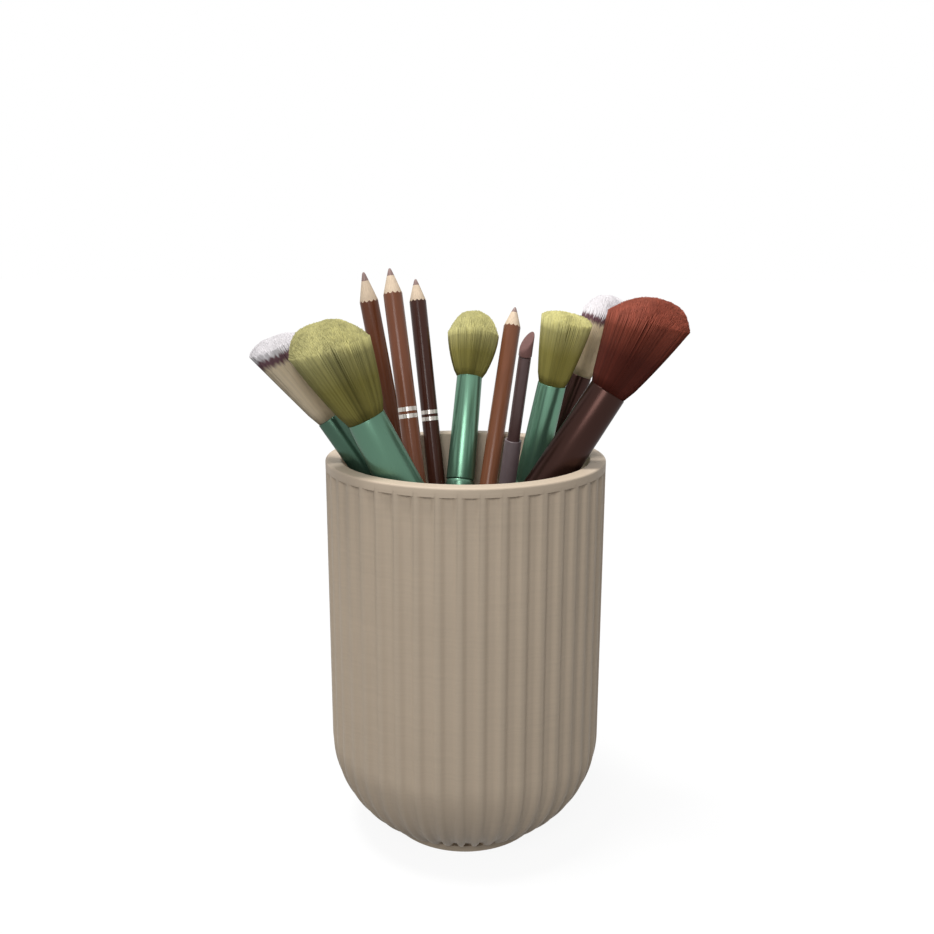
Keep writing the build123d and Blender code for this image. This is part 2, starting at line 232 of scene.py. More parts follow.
PENCILS = [
    Pencil("lip_pencil", Stand((-0.25, 0.72), 132.6, 0.4), 3.7, 156.0, 11.5, 1.4, "russet", ()),
    Pencil("brow_pencil", Stand((-0.165, -0.20), 156.0, 20.3), 3.7, 161.0, 10.0, 1.4, "tan",
           ((115.7, 117.3), (113.0, 114.6))),
    Pencil("eye_pencil", Stand((-0.075, 0.45), 109.5, 0.4), 3.5, 156.5, 9.3, 1.3, "dark",
           ((109.5, 111.1), (106.7, 108.3))),
    Pencil("highlight_pencil", Stand((-0.07, 0.18), 73.0, 0.4), 3.6, 151.0, 8.6, 1.3, "rust", ()),
]
SMUDGER_STAND = Stand((0.11, 0.07), -32.0, 24.0)


def linear(hex_colour):
    """Linear RGB of an sRGB hex colour."""
    shares = [int(hex_colour[i : i + 2], 16) / 255 for i in (1, 3, 5)]
    return tuple(s / 12.92 if s <= 0.04045 else ((s + 0.055) / 1.055) ** 2.4 for s in shares)


def colour(name, description, hex_colour):
    return bpy.props.FloatVectorProperty(
        name=name, description=description, subtype="COLOR", size=3, min=0, max=1, default=linear(hex_colour)
    )


def length(name, description, millimetres):
    return bpy.props.FloatProperty(
        name=name, description=description, unit="LENGTH", min=0, precision=5, default=millimetres * MM
    )


class CupSettings(bpy.types.PropertyGroup):
    """Printed cup and drawer"""

    plastic: colour("Plastic", "Matte printed plastic", "#C6B5A0")
    layer_spacing: length("Layer spacing", "Distance between the layer lines that show", 0.9)
    flute_edge: length("Flute edge", "How far the step at a flute's edge is spread", 2.2)


class BrushSettings(bpy.types.PropertyGroup):
    """Ferrules, handles and hair of the brushes"""

    green: colour("Green metal", "Green anodised ferrules and handles", "#668D77")
    brown: colour("Brown metal", "Dark brown ferrules and handles", "#38231E")
    olive_tip: colour("Olive tips", "Light ends of the olive hair", "#BBB57C")
    # The darker roots are painted shade: the hair is one colour, and its lower part is darkened for the
    # shade it lies in.
    olive_root_painted_shade: colour("Olive roots", "Darker lower part of the olive hair", "#98904F")
    red_tip: colour("Red-brown tips", "Light ends of the red-brown hair", "#9A503E")
    # Likewise the darker red-brown roots are painted shade.
    red_root_painted_shade: colour("Red-brown roots", "Darker lower part of the red-brown hair", "#612C22")
    cream: colour("Cream hair", "Lower part of the two-tone hair", "#EDDCBE")
    band: colour("Hair band", "Dark band below the white tips", "#75565C")
    white_tip: colour("White tips", "Ends of the two-tone hair", "#DEDADC")
    hair_spacing: length("Hair spacing", "Distance between hairs at the widest place", 0.37)


class PencilSettings(bpy.types.PropertyGroup):
    """Paint, wood and lead of the pencils"""

    russet: colour("Russet paint", "First pencil from the left", "#6B3E29")
    tan: colour("Tan paint", "Second pencil from the left", "#764833")
    dark: colour("Dark paint", "Third pencil from the left", "#43251C")
    rust: colour("Rust paint", "Fourth pencil from the left", "#784B35")
    wood: colour("Bare wood", "Sharpened cone", "#F0D9BE")
    lead: colour("Lead", "Waxy core", "#9A7E78")
    silver: colour("Silver bands", "Foil bands round the barrel", "#DAD4CC")


class SmudgerSettings(bpy.types.PropertyGroup):
    """Sleeve, stem and sponge of the smudger"""

    sleeve: colour("Sleeve", "Grey-mauve lower sleeve", "#635558")
    stem: colour("Stem", "Dark stem", "#4B3433")
    sponge: colour("Sponge", "Slanted tip", "#734E49")


class StageSettings(bpy.types.PropertyGroup):
    """Floor, light and camera"""

    floor: colour("Floor", "Light that the floor throws back", "#555555")
    backdrop: bpy.props.FloatProperty(
        name="Backdrop",
        description="How far the floor is raised towards white where it is seen",
        default=0.91,
    )
    ambient: bpy.props.FloatProperty(name="Ambient", description="Even light from all round", default=0.38)
    key_strength: bpy.props.FloatProperty(
        name="Key light", description="Strength of the wide soft light from above", default=2.5
    )
    fill_power: bpy.props.FloatProperty(
        name="Fill light", description="Power of the soft light from the front", unit="POWER", default=1.5
    )
    lens: bpy.props.FloatProperty(
        name="Lens", description="Focal length of the camera", unit="CAMERA", default=38.43
    )


class HolderSettings(bpy.types.PropertyGroup):
    """All settings of the brush holder"""

    cup: bpy.props.PointerProperty(type=CupSettings)
    brushes: bpy.props.PointerProperty(type=BrushSettings)
    pencils: bpy.props.PointerProperty(type=PencilSettings)
    smudger: bpy.props.PointerProperty(type=SmudgerSettings)
    stage: bpy.props.PointerProperty(type=StageSettings)


# Places of the tools


class Place(NamedTuple):
    """A tool's place: its matrix turns its own millimetres, foot at 0 and length along Z, to the part's."""

    matrix: Matrix

    @property
    def to_metres(self):
        return Matrix.Scale(MM, 4) @ self.matrix


def stand_place(stand, shaft_radius, foot_radius):
    """A tool that rests on the pocket floor and passes the rim with its gap."""
    foot_height = POCKET_FLOOR + FOOT_GAP + foot_radius
    foot = Vector((stand.foot[0] * POCKET_RADIUS, stand.foot[1] * POCKET_RADIUS, foot_height))
    bearing = math.radians(stand.rim_bearing)
    outward = Vector((math.cos(bearing), math.sin(bearing), 0))
    lean_cosine = 1.0
    for _ in range(4):
        reach = POCKET_RADIUS - stand.rim_gap - shaft_radius / lean_cosine
        way = (outward * reach + Vector((0, 0, CUP_HEIGHT)) - foot).normalized()
        lean_cosine = way.z / math.sqrt(way.z**2 + way.dot(outward) ** 2)
    across = way.cross(Vector((0, 0, 1))).normalized()
    turned = Matrix((across, way.cross(across), way)).transposed().to_4x4()
    return Place(Matrix.Translation(foot) @ turned)


# Materials


def feed(node, feeds):
    """Sets a node's sockets, from a value or from another node's output."""
    for socket, value in feeds.items():
        if isinstance(value, bpy.types.NodeSocket):
            node.id_data.links.new(value, node.inputs[socket])
        else:
            node.inputs[socket].default_value = value


def add(tree, kind, feeds=None, **settings):
    """Adds a node with its settings and what feeds it."""
    node = tree.nodes.new(kind)
    for name, value in settings.items():
        setattr(node, name, value)
    feed(node, feeds or {})
    return node


def start(name):
    """A new material's node tree and its shader."""
    material = bpy.data.materials.new(name)
    material.use_nodes = True
    return material, material.node_tree, material.node_tree.nodes["Principled BSDF"]


def rgba(rgb, share=1.0):
    return (*(min(1.0, c * share) for c in rgb), 1.0)


def tool_coordinates(tree, place):
    """Object coordinates turned to a tool's own millimetres: foot at 0, length along Z."""
    turn = place.matrix.to_3x3().transposed()
    shift = -(turn @ place.matrix.translation)
    objects = add(tree, "ShaderNodeTexCoord")
    return add(
        tree,
        "ShaderNodeMapping",
        {
            "Vector": objects.outputs["Object"],
            "Location": shift,
            "Rotation": turn.to_euler(),
            "Scale": (1 / MM,) * 3,
        },
        vector_type="POINT",
    ).outputs["Vector"]


def mottled(tree, vector, scale, detail, rgb, low, high):
    """Noise, and a colour that it turns darker and lighter."""
    spots = add(tree, "ShaderNodeTexNoise", {"Vector": vector, "Scale": scale, "Detail": detail})
    tint = add(
        tree,
        "ShaderNodeMix",
        {0: spots.outputs["Fac"], 6: rgba(rgb, low), 7: rgba(rgb, high)},
        data_type="RGBA",
    )
    return tint.outputs[2], spots.outputs["Fac"]


def printed_plastic(settings):
    """Matte PLA, printed in layers: no gloss, faint level lines and a little blotching."""
    material, tree, shader = start("printed_pla")
    objects = add(tree, "ShaderNodeTexCoord").outputs["Object"]
    # Real layers are 0.2 mm, too fine to show here, so the lines are drawn over four times as coarse.
    spacing = settings.layer_spacing
    stretched = add(
        tree, "ShaderNodeMapping", {"Vector": objects, "Scale": (1 / (25 * MM), 1 / (25 * MM), 1 / spacing)}
    )
    lines = add(
        tree, "ShaderNodeTexNoise", {"Vector": stretched.outputs["Vector"], "Scale": 1.0, "Detail": 2.0}
    )
    blotch = add(tree, "ShaderNodeTexNoise", {"Vector": objects, "Scale": 1 / (35 * MM), "Detail": 3.0})
    grain = add(tree, "ShaderNodeTexNoise", {"Vector": objects, "Scale": 1 / (1.1 * MM), "Detail": 2.0})
    both = add(
        tree,
        "ShaderNodeMath",
        {0: lines.outputs["Fac"], 1: blotch.outputs["Fac"]},
        operation="ADD",
    )
    shade = add(
        tree, "ShaderNodeMapRange", {"Value": both.outputs["Value"], "From Min": 0.6, "From Max": 1.4}
    )
    tint = add(
        tree,
        "ShaderNodeMix",
        {0: shade.outputs["Result"], 6: rgba(settings.plastic, 0.95), 7: rgba(settings.plastic, 1.05)},
        data_type="RGBA",
    )
    relief = add(
        tree,
        "ShaderNodeMath",
        {0: grain.outputs["Fac"], 1: 0.35, 2: lines.outputs["Fac"]},
        operation="MULTIPLY_ADD",
    )
    bump = add(
        tree,
        "ShaderNodeBump",
        {"Strength": 0.35, "Distance": 0.08 * MM, "Height": relief.outputs["Value"]},
    )
    feed(
        shader,
        {
            "Base Color": tint.outputs[2],
            "Roughness": 0.55,
            "IOR": 1.46,
            "Specular IOR Level": 0.4,
            "Normal": bump.outputs["Normal"],
        },
    )
    return material


def anodised(name, rgb, place):
    """Satin anodised aluminium, drawn as a tube: a soft highlight with fine lines along it."""
    material, tree, shader = start(name)
    own = tool_coordinates(tree, place)
    drawn = add(tree, "ShaderNodeMapping", {"Vector": own, "Scale": (1 / 0.35, 1 / 0.35, 1 / 30)})
    tint, lines = mottled(tree, drawn.outputs["Vector"], 1.0, 3.0, rgb, 0.95, 1.05)
    rough = add(tree, "ShaderNodeMapRange", {"Value": lines, "To Min": 0.26, "To Max": 0.31})
    feed(
        shader,
        {
            "Base Color": tint,
            "Metallic": 0.7,
            "Specular Tint": (0.5, 0.5, 0.5, 1.0),
            "Roughness": rough.outputs["Result"],
        },
    )
    return material


def lacquer(name, rgb, place):
    """Pearly lacquer on a wooden handle: glossy coat over a slightly metallic colour."""
    material, tree, shader = start(name)
    own = tool_coordinates(tree, place)
    tint, _ = mottled(tree, own, 1 / 0.5, 2.0, rgb, 0.8, 1.05)
    feed(
        shader,
        {
            "Base Color": tint,
            "Metallic": 0.6,
            "Specular Tint": (0.5, 0.5, 0.5, 1.0),
            "Roughness": 0.34,
            "Coat Weight": 0.15,
            "Coat Roughness": 0.12,
        },
    )
    return material


def soft_hair(name, stops, tone_share):
    """Fine synthetic hair: colour along each hair, with painted shade towards the roots of one-colour hair,
    some hairs lighter than others, and a dull sheen.
    """
    material, tree, shader = start(name)
    along = add(tree, "ShaderNodeAttribute", attribute_name="along")
    tone = add(tree, "ShaderNodeAttribute", attribute_name="tone")
    ramp = add(tree, "ShaderNodeValToRGB", {"Fac": along.outputs["Fac"]})
    points = ramp.color_ramp.elements
    while len(points) < len(stops):
        points.new(1.0)
    for point, (position, rgb) in zip(points, stops):
        point.position = position
        point.color = rgba(rgb)
    level = add(
        tree,
        "ShaderNodeMapRange",
        {"Value": tone.outputs["Fac"], "To Min": 1 - tone_share, "To Max": 1 + tone_share},
    )
    shaded = add(
        tree,
        "ShaderNodeVectorMath",
        {0: ramp.outputs["Color"], "Scale": level.outputs["Result"]},
        operation="SCALE",
    )
    feed(
        shader,
        {
            "Base Color": shaded.outputs["Vector"],
            "Roughness": 0.6,
            "Specular IOR Level": 0.15,
        },
    )
    return material


def pencil_casing_finish(pencil, settings, place):
    """Gloss paint on a wooden pencil: scalloped where the sharpener cut it, bare grain on the cone."""
    material, tree, shader = start(f"{pencil.name}_paint_and_wood")
    paint = getattr(settings, pencil.paint)
    own = tool_coordinates(tree, place)
    split = add(tree, "ShaderNodeSeparateXYZ", {"Vector": own})
    angle = add(
        tree, "ShaderNodeMath", {0: split.outputs["Y"], 1: split.outputs["X"]}, operation="ARCTAN2"
    )
    # A sine without its sign rises twice in each of its turns.
    turn = add(tree, "ShaderNodeMath", {0: angle.outputs["Value"], 1: SCALLOPS / 2}, operation="MULTIPLY")
    wave = add(tree, "ShaderNodeMath", {0: turn.outputs["Value"]}, operation="SINE")
    scallop = add(tree, "ShaderNodeMath", {0: wave.outputs["Value"]}, operation="ABSOLUTE")
    edge = add(
        tree,
        "ShaderNodeMath",
        {0: scallop.outputs["Value"], 1: SCALLOP_DEPTH, 2: split.outputs["Z"]},
        operation="MULTIPLY_ADD",
    )
    bare = add(
        tree,
        "ShaderNodeMapRange",
        {
            "Value": edge.outputs["Value"],
            "From Min": pencil.barrel_length + PAINT_END[0],
            "From Max": pencil.barrel_length + PAINT_END[1],
        },
    )
    fibres = add(tree, "ShaderNodeMapping", {"Vector": own, "Scale": (1 / 0.5, 1 / 0.5, 1 / 9)})
    wood, grain = mottled(tree, fibres.outputs["Vector"], 1.0, 4.0, settings.wood, 0.68, 1.12)
    scuffs = add(tree, "ShaderNodeMapping", {"Vector": own, "Scale": (1 / 1.6, 1 / 1.6, 1 / 12)})
    surface, _ = mottled(tree, scuffs.outputs["Vector"], 1.0, 5.0, paint, 0.75, 1.25)
    foil = 0.0  # 1 on the silver bands
    for low, high in pencil.bands:
        middle, half = (low + high) / 2, (high - low) / 2
        inside = add(
            tree,
            "ShaderNodeMath",
            {0: split.outputs["Z"], 1: middle, 2: half},
            operation="COMPARE",
        )
        surface = add(
            tree,
            "ShaderNodeMix",
            {0: inside.outputs["Value"], 6: surface, 7: rgba(settings.silver)},
            data_type="RGBA",
        ).outputs[2]
        parts = {0: foil, 1: inside.outputs["Value"]}
        foil = add(tree, "ShaderNodeMath", parts, operation="MAXIMUM").outputs["Value"]
    tint = add(
        tree,
        "ShaderNodeMix",
        {0: bare.outputs["Result"], 6: surface, 7: wood},
        data_type="RGBA",
    )
    rough = add(
        tree,
        "ShaderNodeMapRange",
        {"Value": bare.outputs["Result"], "To Min": 0.22, "To Max": 0.75},
    )
    step = add(tree, "ShaderNodeMath", {0: 1.0, 1: bare.outputs["Result"]}, operation="SUBTRACT")
    relief = add(
        tree,
        "ShaderNodeMath",
        {0: grain, 1: 0.25, 2: step.outputs["Value"]},
        operation="MULTIPLY_ADD",
    )
    bump = add(
        tree, "ShaderNodeBump", {"Strength": 0.4, "Distance": 0.12 * MM, "Height": relief.outputs["Value"]}
    )
    shine = add(tree, "ShaderNodeMath", {0: foil, 1: 0.4}, operation="MULTIPLY")
    feed(
        shader,
        {
            "Base Color": tint.outputs[2],
            "Metallic": shine.outputs["Value"],
            "Roughness": rough.outputs["Result"],
            "Specular IOR Level": 0.2,
            "Normal": bump.outputs["Normal"],
        },
    )
    return material


def waxy(name, rgb, place):
    """Pressed wax and pigment: dull, with a soft sheen and small streaks from the sharpener."""
    material, tree, shader = start(name)
    own = tool_coordinates(tree, place)
    rubbed = add(tree, "ShaderNodeMapping", {"Vector": own, "Scale": (1 / 0.6, 1 / 0.6, 1 / 2.5)})
    tint, _ = mottled(tree, rubbed.outputs["Vector"], 1.0, 4.0, rgb, 0.55, 1.35)
    feed(shader, {"Base Color": tint, "Roughness": 0.42, "Specular IOR Level": 0.5})
    return material


def satin_plastic(name, rgb, place):
    """Moulded plastic with a satin skin, very slightly mottled."""
    material, tree, shader = start(name)
    own = tool_coordinates(tree, place)
    tint, spots = mottled(tree, own, 1 / 3.0, 4.0, rgb, 0.85, 1.15)
    rough = add(tree, "ShaderNodeMapRange", {"Value": spots, "To Min": 0.3, "To Max": 0.48})
    feed(shader, {"Base Color": tint, "Roughness": rough.outputs["Result"], "IOR": 1.5})
    return material


def foam(name, rgb, place):
    """Fine closed foam: matte, with pores just large enough to show, painted darker at the bottom of each
    pore as shade.
    """
    material, tree, shader = start(name)
    own = tool_coordinates(tree, place)
    pores = add(tree, "ShaderNodeTexVoronoi", {"Vector": own, "Scale": 1 / 0.45})
    # The colour darkens where the bump dips, painting shade into the pores.
    tint = add(
        tree,
        "ShaderNodeMix",
        {0: pores.outputs["Distance"], 6: rgba(rgb, 0.85), 7: rgba(rgb, 1.1)},
        data_type="RGBA",
    )
    bump = add(
        tree, "ShaderNodeBump", {"Strength": 0.25, "Distance": 0.1 * MM, "Height": pores.outputs["Distance"]}
    )
    feed(
        shader,
        {
            "Base Color": tint.outputs[2],
            "Roughness": 0.7,
            "Sheen Weight": 0.2,
            "Normal": bump.outputs["Normal"],
        },
    )
    return material


# Meshes


def smooth(mesh, sharp_angle=SHARP_ANGLE):
    """Smooth shading but for sharp edges."""
    mesh.polygons.foreach_set("use_smooth", [True] * len(mesh.polygons))
    mesh.set_sharp_from_angle(angle=math.radians(sharp_angle))


def finish_mesh(bm, name, material, sharp_angle=SHARP_ANGLE):
    """Turns a bmesh into an object at the origin, smooth but for its sharp edges."""
    mesh = bpy.data.meshes.new(name)
    bm.to_mesh(mesh)
    bm.free()
    smooth(mesh, sharp_angle)
    if material is not None:
        mesh.materials.append(material)
    piece = bpy.data.objects.new(name, mesh)
    bpy.context.scene.collection.objects.link(piece)
    return piece


def stand_for(piece, body, slot, *nodes):
    """The piece rides on its body and stands for its solids."""
    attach(piece, body)
    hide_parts(*nodes)


def spin_profile(bm, profile, steps):
    """Turns a profile of (radius, height) points, from axis to axis, into a closed solid round Z."""
    points = [bm.verts.new((radius, 0, height)) for radius, height in profile]
    edges = [bm.edges.new(pair) for pair in zip(points, points[1:])]
    bmesh.ops.spin(
        bm, geom=points + edges, cent=(0, 0, 0), axis=(0, 0, 1), angle=FULL_TURN, steps=steps, use_merge=True
    )
    bmesh.ops.remove_doubles(bm, verts=bm.verts, dist=1e-4)
    bmesh.ops.recalc_face_normals(bm, faces=bm.faces)


def soften(bm, width, angle=40.0, segments=3):
    """Rounds the edges that turn by more than an angle."""
    limit = math.radians(angle)
    edges = [e for e in bm.edges if len(e.link_faces) == 2 and e.calc_face_angle() > limit]
    bmesh.ops.bevel(
        bm,
        geom=edges,
        offset=width,
        segments=segments,
        profile=0.5,
        affect="EDGES",
        material=-1,
        clamp_overlap=True,
    )


def turned_piece(name, place, profile, material, rounding=0.0):
    """A turned piece on a tool's own axis."""
    bm = bmesh.new()
    spin_profile(bm, profile, TURN_STEPS)
    if rounding:
        soften(bm, rounding)
    bmesh.ops.transform(bm, matrix=place.to_metres, verts=bm.verts)
    return finish_mesh(bm, name, material)


def round_foot(radius, steps=8):
    """Profile of a round foot, from the axis to the side."""
    turns = [math.pi / 2 * i / steps for i in range(steps + 1)]
    return [(radius * math.sin(turn), -radius * math.cos(turn)) for turn in turns]


# Cup and drawer


def corner_point(turn, depth):
    """Point of the rounded corner, inset by a depth, at an angle below level."""
    radius = CORNER_RADIUS - depth
    return (CORNER_CENTRE + radius * math.cos(turn), SHOULDER - radius * math.sin(turn))


def outside_stations(corner_steps=26):
    """Pairs of (plain, recessed) profile points up the fluted outside, from the lip to the rim band."""
    stations = []
    plain_start = math.asin((SHOULDER - BASE_LIP) / CORNER_RADIUS)
    recess_start = math.asin((SHOULDER - BASE_LIP) / (CORNER_RADIUS - FLUTE_DEPTH))
    for i in range(corner_steps):
        left = 1 - i / corner_steps
        plain, recessed = corner_point(plain_start * left, 0), corner_point(recess_start * left, FLUTE_DEPTH)
        stations.append((plain, recessed))
    for height in (SHOULDER, (SHOULDER + FLUTE_TOP) / 2, FLUTE_TOP - FLUTE_END):
        stations.append(((OUTER_RADIUS, height), (OUTER_RADIUS - FLUTE_DEPTH, height)))
    return stations


def arc(centre, radius, first, last, steps=5):
    """Points of an arc between two angles in degrees."""
    turns = [math.radians(first + (last - first) * i / steps) for i in range(steps + 1)]
    return [(centre[0] + radius * math.cos(t), centre[1] + radius * math.sin(t)) for t in turns]


def recess_share(turn, edge):
    """How far the outside is recessed at an angle: 1 in a flute, 0 on a rib, softly stepped between."""
    pitch = FULL_TURN / FLUTE_COUNT
    off = (turn - math.radians(FLUTE_BEARING) + pitch / 2) % pitch - pitch / 2
    from_edge = (FLUTE_SHARE * pitch / 2 - abs(off)) * OUTER_RADIUS
    share = min(1.0, max(0.0, 0.5 + from_edge / edge))
    return share * share * (3 - 2 * share)


def fluted_solid(bm, top_profile, edge):
    """The fluted outside, closed above by a profile that leads back to the axis."""
    stations = outside_stations()
    base = [
        (0, 0),
        (BASE_RADIUS - BASE_EDGE, 0),
        (BASE_RADIUS, BASE_EDGE),
        (BASE_RADIUS, BASE_LIP - LIP_STEP),
    ]
    profile = base + [plain for plain, _ in stations] + top_profile
    mark = bm.verts.layers.int.new("station")
    points = []
    for i, (radius, height) in enumerate(profile):
        point = bm.verts.new((radius, 0, height))
        point[mark] = i - len(base)
        points.append(point)
    edges = [bm.edges.new(pair) for pair in zip(points, points[1:])]
    bmesh.ops.spin(
        bm,
        geom=points + edges,
        cent=(0, 0, 0),
        axis=(0, 0, 1),
        angle=FULL_TURN,
        steps=FLUTE_COUNT * STEPS_PER_FLUTE,
        use_merge=True,
    )
    bmesh.ops.remove_doubles(bm, verts=bm.verts, dist=1e-4)
    for point in bm.verts:
        if 0 <= point[mark] < len(stations):
            plain, recessed = stations[point[mark]]
            turn = math.atan2(point.co.y, point.co.x)
            share = recess_share(turn, edge)
            radius = plain[0] + (recessed[0] - plain[0]) * share
            height = plain[1] + (recessed[1] - plain[1]) * share
            point.co = (radius * math.cos(turn), radius * math.sin(turn), height)
    bm.verts.layers.int.remove(mark)
    bmesh.ops.recalc_face_normals(bm, faces=bm.faces)


def half_disc(bm, radius, width, side, steps=96):
    """Half a disc on one side of X, trimmed to a width."""
    disc = bmesh.ops.create_circle(bm, cap_ends=True, segments=steps, radius=radius)["verts"]
    trims = [((0, 0, 0), (0, -side, 0)), ((width / 2, 0, 0), (1, 0, 0)), ((-width / 2, 0, 0), (-1, 0, 0))]
    for place, normal in trims:
        edges = dict.fromkeys(e for v in disc for e in v.link_edges)
        faces = dict.fromkeys(f for v in disc for f in v.link_faces)
        cut = bmesh.ops.bisect_plane(
            bm, geom=[*disc, *edges, *faces], dist=1e-5, plane_co=place, plane_no=normal, clear_outer=True
        )
        disc = [v for v in disc if v.is_valid]
        disc += [g for g in cut["geom_cut"] if isinstance(g, bmesh.types.BMVert) and g not in disc]


def raise_plan(bm, bottom, top):
    """Raises a flat plan into a solid between two heights."""
    bmesh.ops.remove_doubles(bm, verts=bm.verts, dist=1e-3)
    bmesh.ops.recalc_face_normals(bm, faces=bm.faces)
    bmesh.ops.translate(bm, vec=(0, 0, bottom), verts=bm.verts)
    raised = bmesh.ops.extrude_face_region(bm, geom=list(bm.faces), use_keep_orig=True)["geom"]
    moved = [g for g in raised if isinstance(g, bmesh.types.BMVert)]
    bmesh.ops.translate(bm, vec=(0, 0, top - bottom), verts=moved)
    bmesh.ops.recalc_face_normals(bm, faces=bm.faces)


def bay_solid(gap, bottom, top):
    """The bay's space: a round inner end and straight sides out past the back."""
    bm = bmesh.new()
    half_disc(bm, BAY_END_RADIUS - gap, BAY_WIDTH - 2 * gap, -1)
    sill = [e for e in bm.edges if all(abs(v.co.y) < 1e-3 for v in e.verts)]
    pulled = bmesh.ops.extrude_edge_only(bm, edges=sill)["geom"]
    moved = [g for g in pulled if isinstance(g, bmesh.types.BMVert)]
    bmesh.ops.translate(bm, vec=(0, OUTER_RADIUS + PAST, 0), verts=moved)
    raise_plan(bm, bottom, top)
    return bm


def tray_solid(bottom, top):
    """The drawer's hollow, round at both ends."""
    bm = bmesh.new()
    inside = BAY_WIDTH - 2 * (DRAWER_GAP + TRAY_WALL)
    half_disc(bm, TRAY_END_RADIUS, inside, -1)
    half_disc(bm, corner_radius_at(bottom) - DRAWER_FRONT, inside, 1)
    raise_plan(bm, bottom, top)
    return bm


def carve(piece, tool_bm, operation):
    """Cuts, keeps or joins a shape and leaves the result in the piece's own mesh."""
    bmesh.ops.scale(tool_bm, vec=(MM,) * 3, verts=tool_bm.verts)
    tool = finish_mesh(tool_bm, "cutter", None)
    step = piece.modifiers.new("carve", "BOOLEAN")
    step.operation = operation
    step.object = tool
    step.solver = "EXACT"
    carved = bpy.data.meshes.new_from_object(piece.evaluated_get(bpy.context.evaluated_depsgraph_get()))
    piece.modifiers.clear()
    plain = piece.data
    carved.name = plain.name
    piece.data = carved
    bpy.data.meshes.remove(plain)
    spare = tool.data
    bpy.data.objects.remove(tool)
    bpy.data.meshes.remove(spare)


def box_solid(size, middle):
    bm = bmesh.new()
    bmesh.ops.create_cube(bm, size=1.0)
    bmesh.ops.scale(bm, vec=size, verts=bm.verts)
    bmesh.ops.translate(bm, vec=middle, verts=bm.verts)
    return bm


def plastic_material(settings):
    """The one printed plastic that the cup and the drawer share."""
    return bpy.data.materials.get("printed_pla") or printed_plastic(settings)


class HOLDER_OT_cup(bpy.types.Operator):
    """Fluted cup with its raised pocket floor and the drawer bay"""

    bl_idname = "holder.cup"
    bl_label = "Cup"

    def execute(self, context):
        settings = context.scene.holder.cup
        inner = POCKET_RADIUS + RIM_ROUND
        top = [(OUTER_RADIUS, FLUTE_TOP)]
        top += arc((OUTER_RADIUS - RIM_ROUND, CUP_HEIGHT - RIM_ROUND), RIM_ROUND, 0, 90)
        top += arc((inner, CUP_HEIGHT - RIM_ROUND), RIM_ROUND, 90, 180)
        top += arc((POCKET_RADIUS - POCKET_FILLET, POCKET_FLOOR + POCKET_FILLET), POCKET_FILLET, 0, -90, 8)
        top += [(0, POCKET_FLOOR)]
        bm = bmesh.new()
        fluted_solid(bm, top, settings.flute_edge / MM)
        bmesh.ops.scale(bm, vec=(MM,) * 3, verts=bm.verts)
        piece = finish_mesh(bm, "cup_shell", plastic_material(settings))
        carve(piece, bay_solid(0, BAY_BOTTOM, BAY_TOP), "DIFFERENCE")
        stop = box_solid(
            (STOP_WIDTH, STOP_LENGTH, STOP_DEPTH + STOP_BITE),
            (0, STOP_BACK + STOP_LENGTH / 2, BAY_TOP + (STOP_BITE - STOP_DEPTH) / 2),
        )
        carve(piece, stop, "UNION")
        smooth(piece.data)
        stand_for(piece, "holder", "printed_plastic", "cup_body")
        return {"FINISHED"}


class HOLDER_OT_drawer(bpy.types.Operator):
    """Drawer with a fluted front and a finger notch"""

    bl_idname = "holder.drawer"
    bl_label = "Drawer"

    def execute(self, context):
        settings = context.scene.holder.cup
        bottom, top = BAY_BOTTOM + DRAWER_SEAT, BAY_TOP - DRAWER_GAP
        bm = bmesh.new()
        fluted_solid(bm, [(OUTER_RADIUS, FLUTE_TOP), (0, FLUTE_TOP)], settings.flute_edge / MM)
        bmesh.ops.scale(bm, vec=(MM,) * 3, verts=bm.verts)
        piece = finish_mesh(bm, "drawer_box", plastic_material(settings))
        carve(piece, bay_solid(DRAWER_GAP, bottom, top), "INTERSECT")
        carve(piece, tray_solid(bottom + TRAY_WALL, top + PAST), "DIFFERENCE")
        notch = bmesh.new()
        bmesh.ops.create_cone(
            notch,
            cap_ends=True,
            segments=72,
            radius1=NOTCH_RADIUS,
            radius2=NOTCH_RADIUS,
            depth=OUTER_RADIUS + PAST,
        )
        lying = Matrix.Rotation(math.pi / 2, 3, "X")
        bmesh.ops.rotate(notch, cent=(0, 0, 0), matrix=lying, verts=notch.verts)
        bmesh.ops.translate(notch, vec=(0, (OUTER_RADIUS + PAST) / 2, top), verts=notch.verts)
        carve(piece, notch, "DIFFERENCE")
        smooth(piece.data)
        stand_for(piece, "drawer", "printed_plastic", "drawer")
        return {"FINISHED"}


# Brushes


def one_hair(bm):
    """A three-sided hair, one unit long with its root at 0, cut into short runs."""
    made = bmesh.ops.create_cone(bm, cap_ends=True, segments=3, radius1=1, radius2=1, depth=1)["verts"]
    bmesh.ops.translate(bm, vec=(0, 0, 0.5), verts=made)
    upright = [e for e in bm.edges if abs(e.verts[0].co.z - e.verts[1].co.z) > 0.5]
    bmesh.ops.subdivide_edges(bm, edges=upright, cuts=HAIR_CUTS)


